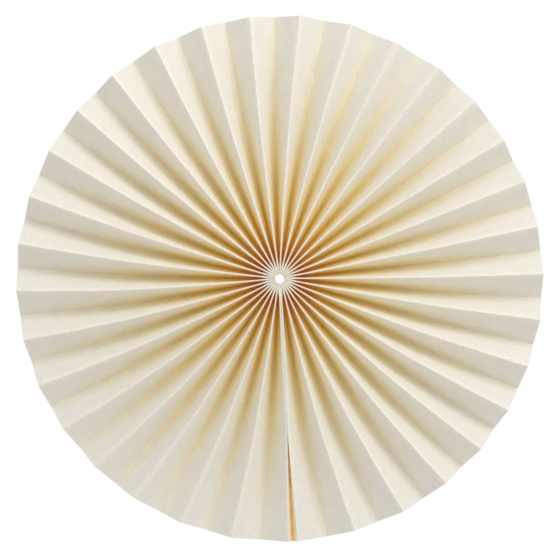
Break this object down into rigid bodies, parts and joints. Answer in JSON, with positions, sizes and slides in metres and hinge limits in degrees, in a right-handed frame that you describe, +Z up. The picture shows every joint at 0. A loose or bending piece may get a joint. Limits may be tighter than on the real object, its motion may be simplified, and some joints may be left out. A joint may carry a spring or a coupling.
{
  "type": "paper fan rosette",
  "caption": "Round accordion-pleated paper fan, gathered at an open hub and closed by a taped seam, for hanging on a wall.",
  "frame": {"origin": "on the axis of the hub hole, in the plane of the back folds", "axes": "+Z up as hung, with the seam just right of the lowest point; the front faces -Y; +X to the right seen from the front"},
  "size_m": [0.2999, 0.02, 0.2999],
  "materials": {
    "cream_paper": "matte",
    "adhesive_tape": "satin",
    "cotton_thread": "matte"
  },
  "bodies": {
    "root": {"pleated_paper": "cream_paper", "seam_tape_left": "adhesive_tape", "seam_tape_right": "adhesive_tape", "tie_thread": "cotton_thread"}
  },
  "joints": []
}
